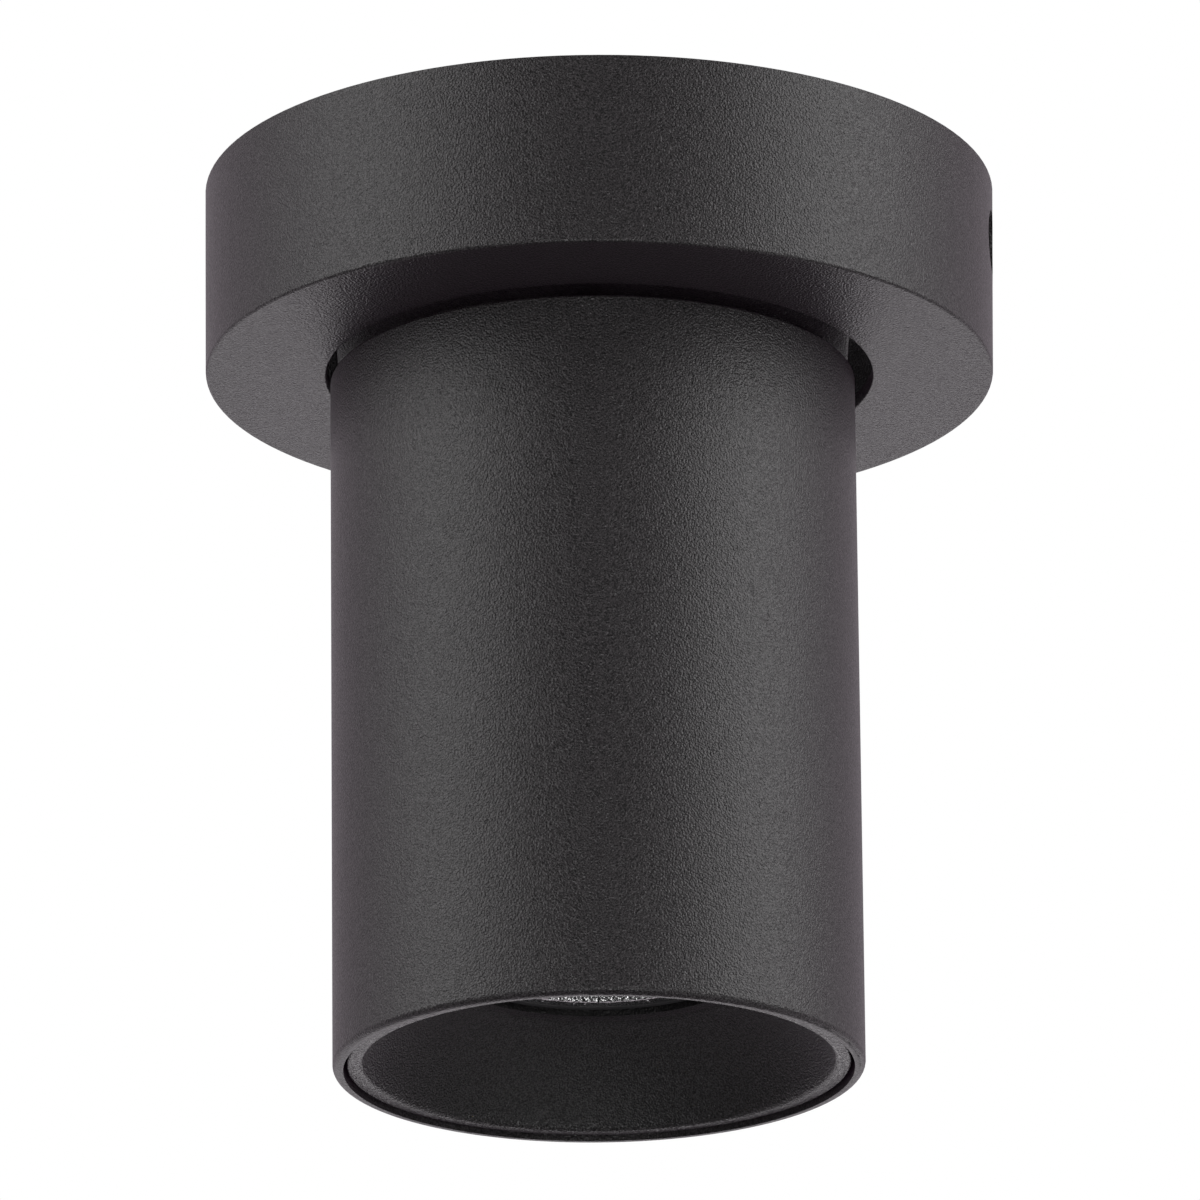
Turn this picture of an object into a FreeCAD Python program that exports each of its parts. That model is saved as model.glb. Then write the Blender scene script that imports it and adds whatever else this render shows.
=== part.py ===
"""Surface mounted ceiling spotlight: a round canopy with a tilting, turning cylinder head.

The origin is the centre of the ceiling face, with +Z up into the ceiling, so that every
piece of the lamp lies below z = 0. All sizes are millimetres.

Three groups move against each other. The fixed group is screwed to the ceiling. The
swivel group turns about +Z on a hollow nipple. The head tilts about a pin at its own top
rim, on the side named by HINGE_AZ.
"""
import FreeCAD, Part
import math
import os

from FreeCAD import Vector

os.makedirs("parts", exist_ok=True)

# Canopy, a shallow cast cup with its opening downwards.
CANOPY_H = 24.0
CANOPY_R = 48.8
CANOPY_TOP_R = 49.0
CANOPY_WALL = 1.8
CANOPY_EDGE = 0.4
CANOPY_SHIFT = 0.84          # the side screws hold it this far to +X of the swivel axis
OPENING_R = 33.9

# Side screws, which clamp the canopy to the bracket from two opposite sides.
SIDE_AZ = -5.0
SIDE_DROP = 7.8              # below the ceiling
SIDE_HOLE_R = 4.0
SIDE_HEAD_R = 3.7
SIDE_HEAD_L = 3.2
SIDE_RECESS = 0.9            # from the canopy's surface in to the screw head

# Ceiling bracket.
SHEET = 1.5                  # steel sheet of the bracket and the bridge
BRACKET_R = 42.5
TAB_W = 12.0
TAB_DROP = 12.5
ENTRY_R = 11.0               # hole for the grommet of the supply cable
GROMMET_BORE_R = 5.0
SLOT_AT = 28.0
SLOT_L = 14.0
SLOT_R = 2.25

# Terminal block and earthing screw, both under the bracket.
TERMINAL_X = -25.5
TERMINAL_HALF_X = 8.0
TERMINAL_HALF_Y = 13.5
TERMINAL_BOTTOM = -12.5
TERMINAL_SCREW_X = 4.8       # from the block's middle, one each side
TERMINAL_SCREW_R = 1.8
POLE_PITCH = 8.5
WIRE_Z = -5.4
EARTH_X = 24.0
EARTH_Y = -14.0

# Bridge across the canopy, which carries the lamp, and the nipple through it.
BRIDGE_TOP = -11.5
BRIDGE_W = 26.0
BOSS_AT = 40.5
BOSS_R = 4.2
NIPPLE_R = 5.0
NIPPLE_BORE_R = 3.8
NIPPLE_TOP = -8.6
NIPPLE_BOTTOM = -21.9
SHOULDER_R = 8.5
SHOULDER_L = 1.0
HEX_AF = 14.0
NUT_L = 3.0
WASHER_T = 1.0
LEAD_R = 2.3
LEAD_BEND_R = 6.0

# Swivel disc, a dished disc that closes the canopy's opening from inside.
FLOOR_TOP = -14.5
DISC_T = 1.5
DISC_R = 35.5
DISC_FLAT_AT = 31.7          # from the axis to each of its two flats
DISC_BOTTOM = -21.9
DISC_CORNER = 0.25
COLLAR_R = 31.1
COLLAR_TOP = -17.0
WELL_R = 16.0
STOP_AT = 13.5
STOP_R = 1.0
STOP_L = 1.2
STOP_PIN_AZ = 180.0
NECK_LEAD_END = -22.0
LEAD_GAP = 0.6               # between the lead's two stretches, where the head tilts

# Head.
TUBE_R = 32.5
TUBE_WALL = 1.3
TUBE_L = 88.7
TUBE_TOP = -24.5
TUBE_EDGE = 0.3              # rounding of the upper rim
TUBE_LOW_EDGE = 0.8          # rounding of the lower rim
CAP_DROP = 1.1               # top cap below the tube's rim
CAP_T = 2.0
CAP_HOLE_R = 4.2

# Hinge between the swivel disc and the head.
HINGE_AZ = 30.0
PIVOT_OUT = 30.0             # from the swivel axis
PIVOT_Z = -26.9
REST_TILT = 0.45             # the head hangs this many degrees open
KNUCKLE_R = 1.9
KNUCKLE_HALF = 1.9
EAR_IN = 2.6
EAR_OUT = 4.1
NOTCH_HALF = 4.9
PIN_R = 1.0
EAR_PLATE_T = 2.0
EAR_PLATE_HALF = 8.0
HINGE_SCREW_X = 23.0
HINGE_SCREW_Y = 5.4
ARM_T = 1.5
ARM_START = 12.0
ARM_SCREW_X = 19.0
ARM_SCREW_Y = 5.0

# Light opening: depths are measured up from the tube's lower end.
LIP_DEPTH = 0.6
LIP_R = 30.76
LIP_INNER_R = 28.97
LIP_EDGE = 0.25              # rounding of the lip's outer edge
LIP_SOFT_EDGE = 0.7          # rounding where the lip turns into the bowl
CONE_DEPTH = 12.0
CONE_R = 19.5
CONE_SAG = 1.1
THROAT_R = 18.3
BAFFLE_H = 14.6
REFLECTOR_DEPTH = 13.2
REFLECTOR_R = 15.2
REFLECTOR_TOP_R = 8.0
REFLECTOR_H = 20.4
REFLECTOR_WALL = 0.9
FLANGE_R = 16.9
GLASS_SEAT = 0.6             # from the flange's front up to the glass
GLASS_T = 1.2
BAFFLE_WALL = 1.2
CLIP_W = 6.0
CLIP_T = 0.4

# Inside the head.
SINK_TOP_OUT_R = 30.4
SINK_BASE_T = 6.0
SINK_FIN_H = 18.0
SINK_FINS = 15
FIN_T = 1.5
POST_AT = 26.5
POST_AF = 5.0
CASE_R = 22.0
CASE_H = 20.0
CASE_WALL = 1.4
CASE_GAP = 2.2               # from the cap down to the driver's case
BOARD_T = 1.6
BOARD_UP = 2.4               # from the case's open end up to the board
WIRES_AT = 14.0
WIRE_PITCH = 2.6
WIRE_R = 0.8
LED_HALF = 9.5
LED_T = 1.4
EMITTER_R = 6.0
EMITTER_T = 0.6
HOLDER_R = 21.0
HOLDER_T = 4.0
HOLDER_SCREW_AT = 17.0

# Fasteners and small gaps.
M3_R = 1.45
M3_SINK_R = 2.8              # countersunk head
M4_R = 1.95
HOLE_GAP = 0.05
BIG = 200.0

# Values worked out from the ones above.
TUBE_BOTTOM = TUBE_TOP - TUBE_L
TUBE_BORE_R = TUBE_R - TUBE_WALL
CAP_TOP = TUBE_TOP - CAP_DROP
CAP_BOTTOM = CAP_TOP - CAP_T
CASE_TOP = CAP_BOTTOM - CASE_GAP
BOARD_Z = CASE_TOP - CASE_H + BOARD_UP
LEAD_CUT = WIRE_Z - LEAD_BEND_R
BRIDGE_BOTTOM = BRIDGE_TOP - SHEET
REFLECTOR_FRONT = TUBE_BOTTOM + REFLECTOR_DEPTH
REFLECTOR_BACK = REFLECTOR_FRONT + REFLECTOR_H
SINK_BOTTOM = REFLECTOR_BACK + HOLDER_T
SINK_TOP = SINK_BOTTOM + SINK_BASE_T
FLOOR_BOTTOM = FLOOR_TOP - DISC_T
DISC_TOP = DISC_BOTTOM + DISC_T
POST_AZIMUTHS = [HINGE_AZ + 60.0, HINGE_AZ + 180.0, HINGE_AZ + 300.0]
CLIP_AZIMUTHS = [HINGE_AZ + 30.0, HINGE_AZ + 150.0, HINGE_AZ + 270.0]


# ---- small helpers -------------------------------------------------------------------

def rod(radius, low, high, x=0.0, y=0.0):
    """An upright cylinder from z = low to z = high."""
    return Part.makeCylinder(radius, high - low, Vector(x, y, low))


def pipe(outer, inner, low, high, x=0.0, y=0.0):
    """An upright ring from z = low to z = high."""
    return rod(outer, low, high, x, y).cut(rod(inner, low - 1.0, high + 1.0, x, y))


def block(x0, x1, y0, y1, z0, z1):
    """A box between two corners."""
    return Part.makeBox(x1 - x0, y1 - y0, z1 - z0, Vector(x0, y0, z0))


def cross_rod(radius, y0, y1, x, z):
    """A cylinder along Y."""
    return Part.makeCylinder(radius, y1 - y0, Vector(x, y0, z), Vector(0, 1, 0))


def hexagon(across_flats, low, high, x=0.0, y=0.0):
    """An upright hexagonal prism."""
    corner = across_flats / math.sqrt(3.0)
    points = []
    for k in range(7):
        angle = math.radians(60.0 * k)
        points.append(Vector(x + corner * math.cos(angle), y + corner * math.sin(angle), low))
    return Part.Face(Part.makePolygon(points)).extrude(Vector(0, 0, high - low))


def lathe(edges):
    """A solid of revolution about Z from a closed outline in the XZ plane."""
    return Part.Face(Part.Wire(edges)).revolve(Vector(0, 0, 0), Vector(0, 0, 1), 360)


def lines(points):
    """Straight edges through (radius, z) points."""
    corners = [Vector(r, 0, z) for r, z in points]
    return [Part.LineSegment(a, b).toShape() for a, b in zip(corners, corners[1:])]


def arc(start, middle, end):
    """An arc edge through three (radius, z) points."""
    a, b, c = [Vector(r, 0, z) for r, z in (start, middle, end)]
    return Part.Arc(a, b, c).toShape()


def ring_of(points):
    """A solid of revolution from a polygon of (radius, z) points."""
    return lathe(lines(points + points[:1]))


def edges_at(shape, z, radius):
    """Circular edges that lie at one height and have about one radius."""
    found = []
    for edge in shape.Edges:
        box = edge.BoundBox
        if abs(box.ZMin - z) < 0.01 and abs(box.ZMax - z) < 0.01 and hasattr(edge.Curve, "Radius"):
            if abs(edge.Curve.Radius - radius) < 0.05:
                found.append(edge)
    return found


def turned(shape, azimuth):
    """The shape turned about the swivel axis, from +X to an azimuth in degrees."""
    copy = shape.copy()
    copy.rotate(Vector(0, 0, 0), Vector(0, 0, 1), azimuth)
    return copy


def at_hinge(shape):
    """A shape drawn with the hinge on +X, turned to where the hinge is."""
    return turned(shape, HINGE_AZ)


def hung(shape):
    """A head piece drawn upright, tilted about the hinge pin to its rest angle."""
    angle = math.radians(HINGE_AZ)
    pivot = Vector(PIVOT_OUT * math.cos(angle), PIVOT_OUT * math.sin(angle), PIVOT_Z)
    axis = Vector(math.sin(angle), -math.cos(angle), 0)
    copy = shape.copy()
    copy.rotate(pivot, axis, REST_TILT)
    return copy


def joined(shapes):
    """One solid from overlapping shapes."""
    result = shapes[0]
    for shape in shapes[1:]:
        result = result.fuse(shape)
    return result.removeSplitter()


def group(shapes):
    """Separate solids that share one node."""
    solids = []
    for shape in shapes:
        solids.extend(shape.Solids)
    return Part.makeCompound(solids)


def flat_screw(radius, head_r, top, length, x, y):
    """A countersunk screw whose head is flush with z = top and whose shank goes down."""
    slope = head_r - radius
    head = Part.makeCone(radius, head_r, slope, Vector(x, y, top - slope))
    shank = rod(radius, top - length, top - slope, x, y)
    socket = hexagon(head_r * 0.8, top - 0.8, top + 1.0, x, y)
    return joined([head, shank]).cut(socket)


def countersink(radius, head_r, top, x, y):
    """The hole for a countersunk screw that goes down from z = top."""
    slope = head_r - radius
    hole = rod(radius + HOLE_GAP, top - 20.0, top + 1.0, x, y)
    cone = Part.makeCone(radius + HOLE_GAP, head_r + HOLE_GAP, slope, Vector(x, y, top - slope))
    return hole.fuse(cone)


def pan_screw(radius, head_r, under, head_h, length, x, y):
    """A pan head screw: the head stands above z = under and the shank goes down."""
    head = rod(head_r, under, under + head_h, x, y)
    rim = edges_at(head, under + head_h, head_r)
    head = head.makeFillet(head_h * 0.4, rim)
    shank = rod(radius, under - length, under, x, y)
    slot = block(x - head_r - 1, x + head_r + 1, y - 0.4, y + 0.4, under + head_h * 0.5, under + 9)
    return joined([head, shank]).cut(slot)


# ---- fixed group: what is screwed to the ceiling --------------------------------------

def ceiling_bracket():
    """Round steel plate with two slots, a cable hole and two tapped tabs bent down."""
    plate = pipe(BRACKET_R, ENTRY_R, -SHEET, 0.0)
    face = BRACKET_R - SHEET
    tab = block(face - SHEET, face, -TAB_W / 2, TAB_W / 2, -TAB_DROP, -SHEET / 2)
    tap = Part.makeCylinder(M4_R + HOLE_GAP, 10.0, Vector(face - 5, 0, -SIDE_DROP), Vector(1, 0, 0))
    tab = tab.cut(tap)
    shape = joined([plate, turned(tab, SIDE_AZ), turned(tab, SIDE_AZ + 180.0)])
    half = SLOT_L / 2 - SLOT_R
    for side in (-1, 1):
        middle = side * SLOT_AT
        slot = block(-SLOT_R, SLOT_R, middle - half, middle + half, -5, 5)
        for end in (middle - half, middle + half):
            slot = slot.fuse(rod(SLOT_R, -5, 5, 0, end))
        shape = shape.cut(slot)
    shape = shape.cut(rod(M3_R + HOLE_GAP, -5, 5, TERMINAL_X, 0))
    shape = shape.cut(rod(M4_R + HOLE_GAP, -5, 5, EARTH_X, EARTH_Y))
    return shape


def cable_grommet():
    """Rubber grommet, grooved round its edge, that lines the bracket's cable hole."""
    flange = ENTRY_R + 1.8
    waist = ENTRY_R - HOLE_GAP
    low = -SHEET - 1.4
    # The ceiling side is flush, so that the bracket can lie flat.
    return ring_of([
        (GROMMET_BORE_R, low),
        (flange, low),
        (flange, -SHEET),
        (waist, -SHEET),
        (waist, 0.0),
        (GROMMET_BORE_R, 0.0),
    ])


def terminal_block():
    """Three pole terminal block under the bracket, with a wire hole at each pole's ends."""
    back = TERMINAL_X - TERMINAL_HALF_X
    front = TERMINAL_X + TERMINAL_HALF_X
    shape = block(back, front, -TERMINAL_HALF_Y, TERMINAL_HALF_Y, TERMINAL_BOTTOM, -SHEET)
    for pole in (-1, 0, 1):
        y = pole * POLE_PITCH
        wire = Part.makeCylinder(1.7, 5.0, Vector(back, y, WIRE_Z), Vector(1, 0, 0))
        shape = shape.cut(wire)
        for side in (-1, 1):
            x = TERMINAL_X + side * TERMINAL_SCREW_X
            shape = shape.cut(rod(TERMINAL_SCREW_R + 0.2, TERMINAL_BOTTOM - 1, TERMINAL_BOTTOM + 3, x, y))
    for gap in (-0.5, 0.5):
        y = gap * POLE_PITCH
        low = TERMINAL_BOTTOM
        shape = shape.cut(block(back - 1, front + 1, y - 0.5, y + 0.5, low - 1, low + 4))
    return shape.cut(rod(M3_R + HOLE_GAP, TERMINAL_BOTTOM - 1, 1, TERMINAL_X, 0))


def terminal_screws():
    """Six clamp screws, two for each pole, sunk in the block's underside."""
    screws = []
    for pole in (-1, 0, 1):
        for side in (-1, 1):
            x = TERMINAL_X + side * TERMINAL_SCREW_X
            y = pole * POLE_PITCH
            low = TERMINAL_BOTTOM + 1.2
            screw = rod(TERMINAL_SCREW_R, low, TERMINAL_BOTTOM + 3.0, x, y)
            screws.append(screw.cut(block(x - 3, x + 3, y - 0.35, y + 0.35, low - 1, low + 0.7)))
    return group(screws)


def terminal_fixing_screw():
    """Screw that holds the terminal block up against the bracket."""
    screw = pan_screw(M3_R, 2.7, 0.0, 1.8, -TERMINAL_BOTTOM, 0, 0)
    screw.rotate(Vector(0, 0, 0), Vector(1, 0, 0), 180)
    screw.translate(Vector(TERMINAL_X, 0, TERMINAL_BOTTOM))
    return screw


def earth_screw():
    """Earthing screw with its captive square washer, from below into the bracket."""
    screw = pan_screw(M4_R, 3.6, 1.0, 2.2, 2.4, 0, 0)
    washer = block(-4.2, 4.2, -4.2, 4.2, 0.0, 1.0)
    screw = joined([screw, washer])
    screw.rotate(Vector(0, 0, 0), Vector(1, 0, 0), 180)
    screw.translate(Vector(EARTH_X, EARTH_Y, -SHEET))
    return screw


def canopy():
    """Cast cup with slightly drafted sides, a round opening, and two bosses for the bridge."""
    inner = CANOPY_R - CANOPY_WALL
    inner_top = CANOPY_TOP_R - CANOPY_WALL
    floor = -CANOPY_H + CANOPY_WALL
    shell = ring_of([
        (OPENING_R, -CANOPY_H),
        (CANOPY_R, -CANOPY_H),
        (CANOPY_TOP_R, 0.0),
        (inner_top, 0.0),
        (inner, floor),
        (OPENING_R, floor),
    ])
    shell = shell.makeFillet(CANOPY_EDGE, edges_at(shell, -CANOPY_H, CANOPY_R))
    shell = shell.makeFillet(CANOPY_EDGE * 0.5, edges_at(shell, -CANOPY_H, OPENING_R))
    bosses = [rod(BOSS_R, floor - 0.5, BRIDGE_BOTTOM, 0, side * BOSS_AT) for side in (-1, 1)]
    shell = joined([shell] + bosses)
    for side in (-1, 1):
        shell = shell.cut(rod(M3_R + HOLE_GAP, floor + 1.0, 0, 0, side * BOSS_AT))
    shell.translate(Vector(CANOPY_SHIFT, 0, 0))
    for azimuth in (SIDE_AZ, SIDE_AZ + 180.0):
        hole = Part.makeCylinder(SIDE_HOLE_R, 20.0, Vector(40, 0, -SIDE_DROP), Vector(1, 0, 0))
        shell = shell.cut(turned(hole, azimuth))
    return shell


def side_screws():
    """Two M4 screws in the bracket's tabs, whose heads stand in the canopy's side holes."""
    screws = []
    for azimuth in (SIDE_AZ, SIDE_AZ + 180.0):
        shift = CANOPY_SHIFT * math.cos(math.radians(azimuth))
        face = CANOPY_R + shift - SIDE_RECESS
        low = face - SIDE_HEAD_L
        head = Part.makeCylinder(SIDE_HEAD_R, SIDE_HEAD_L, Vector(low, 0, 0), Vector(1, 0, 0))
        shank = Part.makeCylinder(M4_R, low - 37.0, Vector(37.0, 0, 0), Vector(1, 0, 0))
        screw = joined([head, shank])
        socket = hexagon(3.0, face - 1.8, face + 1.0)
        socket.rotate(Vector(0, 0, 0), Vector(0, 1, 0), 90)
        screw = screw.cut(socket)
        screw.translate(Vector(0, 0, -SIDE_DROP))
        screws.append(turned(screw, azimuth))
    return group(screws)


def carrier_bridge():
    """Steel strip across the canopy that carries the nipple, with a stop bent down from it."""
    low = BRIDGE_BOTTOM
    strip = block(-BRIDGE_W / 2, BRIDGE_W / 2, -BOSS_AT - 3.5, BOSS_AT + 3.5, low, BRIDGE_TOP)
    strip = strip.common(rod(BOSS_AT + 3.4, low, BRIDGE_TOP))
    strip = strip.cut(rod(NIPPLE_R + HOLE_GAP, low - 1, BRIDGE_TOP + 1))
    for side in (-1, 1):
        strip = strip.cut(rod(M3_R + HOLE_GAP, low - 1, BRIDGE_TOP + 1, CANOPY_SHIFT, side * BOSS_AT))
    stop = block(STOP_AT - 1.5, STOP_AT + 1.5, -STOP_R, STOP_R, low - STOP_L, BRIDGE_TOP)
    tongue = block(BRIDGE_W / 2 - 3, STOP_AT + 1.5, -3.0, 3.0, low, BRIDGE_TOP)
    return joined([strip, stop, tongue])


def carrier_screws():
    """Two screws that fix the bridge to the canopy's bosses."""
    return group([pan_screw(M3_R, 2.75, BRIDGE_TOP, 1.9, 7.0, CANOPY_SHIFT, side * BOSS_AT)
                  for side in (-1, 1)])


def hollow_nipple():
    """Hollow threaded nipple with a shoulder, through which the lead passes."""
    body = rod(NIPPLE_R, NIPPLE_BOTTOM, NIPPLE_TOP)
    shoulder = rod(SHOULDER_R, BRIDGE_BOTTOM - SHOULDER_L, BRIDGE_BOTTOM)
    return joined([body, shoulder]).cut(rod(NIPPLE_BORE_R, NIPPLE_BOTTOM - 1, NIPPLE_TOP + 1))


def nipple_nut():
    """Nut that clamps the nipple's shoulder up against the bridge."""
    nut = hexagon(HEX_AF, BRIDGE_TOP, BRIDGE_TOP + NUT_L)
    return nut.cut(rod(NIPPLE_R + HOLE_GAP, BRIDGE_TOP - 1, BRIDGE_TOP + NUT_L + 1))


def friction_washer():
    """Thin plastic washer between the nipple's shoulder and the swivel disc."""
    return pipe(SHOULDER_R, NIPPLE_R + HOLE_GAP, FLOOR_TOP + 0.02, BRIDGE_BOTTOM - SHOULDER_L)


def wave_washer():
    """Wave washer that presses the swivel disc up, drawn at its clamped height."""
    top = FLOOR_BOTTOM - 0.02
    return pipe(7.6, NIPPLE_R + HOLE_GAP, FLOOR_BOTTOM - WASHER_T, top)


def thrust_washer():
    """Plain steel washer under the wave washer."""
    high = FLOOR_BOTTOM - WASHER_T
    return pipe(8.6, NIPPLE_R + HOLE_GAP, high - WASHER_T, high)


def lock_nut():
    """Nut that sets how stiffly the swivel turns."""
    high = FLOOR_BOTTOM - 2 * WASHER_T
    nut = hexagon(HEX_AF, high - NUT_L, high)
    return nut.cut(rod(NIPPLE_R + HOLE_GAP, high - NUT_L - 1, high + 1))


def base_lead():
    """Sheathed lead from the terminal block, in one bend down into the nipple."""
    start = Vector(TERMINAL_X + TERMINAL_HALF_X, 0, WIRE_Z)
    bend_start = Vector(-LEAD_BEND_R, 0, WIRE_Z)
    straight = Part.makeCylinder(LEAD_R, bend_start.x - start.x, start, Vector(1, 0, 0))
    section = Part.Face(Part.Wire(Part.Circle(bend_start, Vector(1, 0, 0), LEAD_R).toShape()))
    centre = Vector(-LEAD_BEND_R, 0, LEAD_CUT)
    return joined([straight, section.revolve(centre, Vector(0, 1, 0), 90)])


# ---- swivel group: what turns about the nipple ---------------------------------------

def flat_edges(disc):
    """The lower edges of the disc's two flats."""
    found = []
    for edge in disc.Edges:
        box = edge.BoundBox
        at_flat = abs(abs(box.XMin) - DISC_FLAT_AT) < 0.01 and box.XLength < 0.01
        if at_flat and abs(box.ZMax - DISC_BOTTOM) < 0.01:
            found.append(edge)
    return found


def swivel_disc():
    """Dished disc: floor, well, a flat ring cut off by two flats, and a collar standing on it."""
    bore = NIPPLE_R + HOLE_GAP
    disc = ring_of([
        (bore, FLOOR_BOTTOM),
        (bore, FLOOR_TOP),
        (WELL_R + DISC_T, FLOOR_TOP),
        (WELL_R + DISC_T, DISC_TOP),
        (COLLAR_R - DISC_T, DISC_TOP),
        (COLLAR_R - DISC_T, COLLAR_TOP),
        (COLLAR_R, COLLAR_TOP),
        (COLLAR_R, DISC_TOP),
        (DISC_R, DISC_TOP),
        (DISC_R, DISC_BOTTOM),
        (WELL_R, DISC_BOTTOM),
        (WELL_R, FLOOR_BOTTOM),
    ])
    disc = disc.common(block(-DISC_FLAT_AT, DISC_FLAT_AT, -DISC_R, DISC_R, -BIG, 0))
    disc = disc.makeFillet(DISC_CORNER, flat_edges(disc))
    notch = block(PIVOT_OUT - KNUCKLE_R - 0.3, PIVOT_OUT + KNUCKLE_R + 0.3,
                  -NOTCH_HALF, NOTCH_HALF, -BIG, 0)
    disc = disc.cut(at_hinge(notch))
    for y in (-HINGE_SCREW_Y, HINGE_SCREW_Y):
        # These screws go up from below, so their holes are drawn upside down.
        hole = countersink(M3_R, M3_SINK_R, -DISC_BOTTOM, HINGE_SCREW_X, y)
        hole.rotate(Vector(HINGE_SCREW_X, y, 0), Vector(1, 0, 0), 180)
        disc = disc.cut(at_hinge(hole))
    pin_hole = rod(STOP_R, FLOOR_BOTTOM - 1, FLOOR_TOP + 1, STOP_AT, 0)
    return disc.cut(turned(pin_hole, STOP_PIN_AZ))


def stop_pin():
    """Pin in the swivel disc that meets the bridge's stop after nearly half a turn."""
    return turned(rod(STOP_R, FLOOR_BOTTOM, FLOOR_TOP + STOP_L, STOP_AT, 0), STOP_PIN_AZ)


def hinge_bracket():
    """Steel bracket on top of the disc, with two ears bent down to the hinge pin."""
    high = DISC_TOP + EAR_PLATE_T
    low_x = WELL_R + DISC_T + 0.6
    mid_x = PIVOT_OUT - KNUCKLE_R
    high_x = PIVOT_OUT + KNUCKLE_R
    plate = block(low_x, mid_x, -EAR_PLATE_HALF, EAR_PLATE_HALF, DISC_TOP, high)
    tongue = block(mid_x - 1, high_x, -EAR_OUT, EAR_OUT, DISC_TOP, high)
    parts = [plate, tongue]
    for low, far in ((-EAR_OUT, -EAR_IN), (EAR_IN, EAR_OUT)):
        ear = block(mid_x, high_x, low, far, PIVOT_Z, high)
        parts.append(ear.fuse(cross_rod(KNUCKLE_R, low, far, PIVOT_OUT, PIVOT_Z)))
    shape = joined(parts)
    shape = shape.cut(cross_rod(PIN_R + 0.02, -9, 9, PIVOT_OUT, PIVOT_Z))
    for y in (-HINGE_SCREW_Y, HINGE_SCREW_Y):
        shape = shape.cut(rod(M3_R + HOLE_GAP, DISC_TOP - 1, high + 1, HINGE_SCREW_X, y))
    return at_hinge(shape)


def hinge_screws():
    """Two countersunk screws from below that hold the hinge bracket on the disc."""
    screws = []
    for y in (-HINGE_SCREW_Y, HINGE_SCREW_Y):
        screw = flat_screw(M3_R, M3_SINK_R, -DISC_BOTTOM, 5.2, HINGE_SCREW_X, y)
        screw.rotate(Vector(HINGE_SCREW_X, y, 0), Vector(1, 0, 0), 180)
        screws.append(at_hinge(screw))
    return group(screws)


def hinge_pin():
    """Steel pin through both ears, with a flat head on one end and the other end peened."""
    shank = cross_rod(PIN_R, -EAR_OUT - 0.5, EAR_OUT + 0.5, PIVOT_OUT, PIVOT_Z)
    head = cross_rod(1.6, EAR_OUT + 0.02, EAR_OUT + 0.6, PIVOT_OUT, PIVOT_Z)
    peen = cross_rod(1.3, -EAR_OUT - 0.5, -EAR_OUT - 0.02, PIVOT_OUT, PIVOT_Z)
    return at_hinge(joined([shank, head, peen]))


def hinge_washers():
    """Two friction washers between the ears and the head's knuckle."""
    washers = []
    for low, high in ((-EAR_IN + 0.02, -KNUCKLE_HALF - 0.05), (KNUCKLE_HALF + 0.05, EAR_IN - 0.02)):
        washer = cross_rod(KNUCKLE_R, low, high, PIVOT_OUT, PIVOT_Z)
        washers.append(at_hinge(washer.cut(cross_rod(PIN_R + 0.02, -9, 9, PIVOT_OUT, PIVOT_Z))))
    return group(washers)


def neck_lead():
    """The lead's stretch inside the nipple, down to the joint with the head."""
    return rod(LEAD_R, NECK_LEAD_END, LEAD_CUT)


# ---- head group: what tilts about the hinge pin --------------------------------------

def tube_housing():
    """Turned aluminium tube, with a slot at its rim for the hinge ears."""
    tube = pipe(TUBE_R, TUBE_BORE_R, TUBE_BOTTOM, TUBE_TOP)
    tube = tube.makeFillet(TUBE_EDGE, edges_at(tube, TUBE_TOP, TUBE_R))
    tube = tube.makeFillet(TUBE_LOW_EDGE, edges_at(tube, TUBE_BOTTOM, TUBE_R))
    slot = block(TUBE_BORE_R - 4, TUBE_R + 2, -NOTCH_HALF, NOTCH_HALF,
                 PIVOT_Z - KNUCKLE_R - 0.4, TUBE_TOP + 1)
    return hung(tube.cut(at_hinge(slot)))


def top_cap():
    """Round plate that closes the head's upper end, notched at the hinge."""
    cap = rod(TUBE_BORE_R - 0.1, CAP_BOTTOM, CAP_TOP)
    cap = cap.cut(rod(CAP_HOLE_R, CAP_BOTTOM - 1, CAP_TOP + 1))
    notch = block(PIVOT_OUT - KNUCKLE_R - 0.4, TUBE_R, -NOTCH_HALF - 0.3, NOTCH_HALF + 0.3,
                  CAP_BOTTOM - 1, CAP_TOP + 1)
    cap = cap.cut(at_hinge(notch))
    for azimuth in POST_AZIMUTHS:
        cap = cap.cut(turned(countersink(M3_R, M3_SINK_R, CAP_TOP, POST_AT, 0), azimuth))
    for y in (-ARM_SCREW_Y, ARM_SCREW_Y):
        cap = cap.cut(at_hinge(countersink(M3_R, M3_SINK_R, CAP_TOP, ARM_SCREW_X, y)))
    return hung(cap)


def cap_screws():
    """Three countersunk screws through the cap into the posts."""
    return hung(group([turned(flat_screw(M3_R, M3_SINK_R, CAP_TOP, 8.0, POST_AT, 0), azimuth)
                       for azimuth in POST_AZIMUTHS]))


def cap_grommet():
    """Rubber grommet that lines the cap's lead hole."""
    return hung(ring_of([
        (LEAD_R + HOLE_GAP, CAP_BOTTOM - 1.0),
        (CAP_HOLE_R + 1.3, CAP_BOTTOM - 1.0),
        (CAP_HOLE_R + 1.3, CAP_BOTTOM),
        (CAP_HOLE_R - HOLE_GAP, CAP_BOTTOM),
        (CAP_HOLE_R - HOLE_GAP, CAP_TOP),
        (CAP_HOLE_R + 1.3, CAP_TOP),
        (CAP_HOLE_R + 0.6, CAP_TOP + 0.9),
        (LEAD_R + HOLE_GAP, CAP_TOP + 0.9),
    ]))


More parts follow.
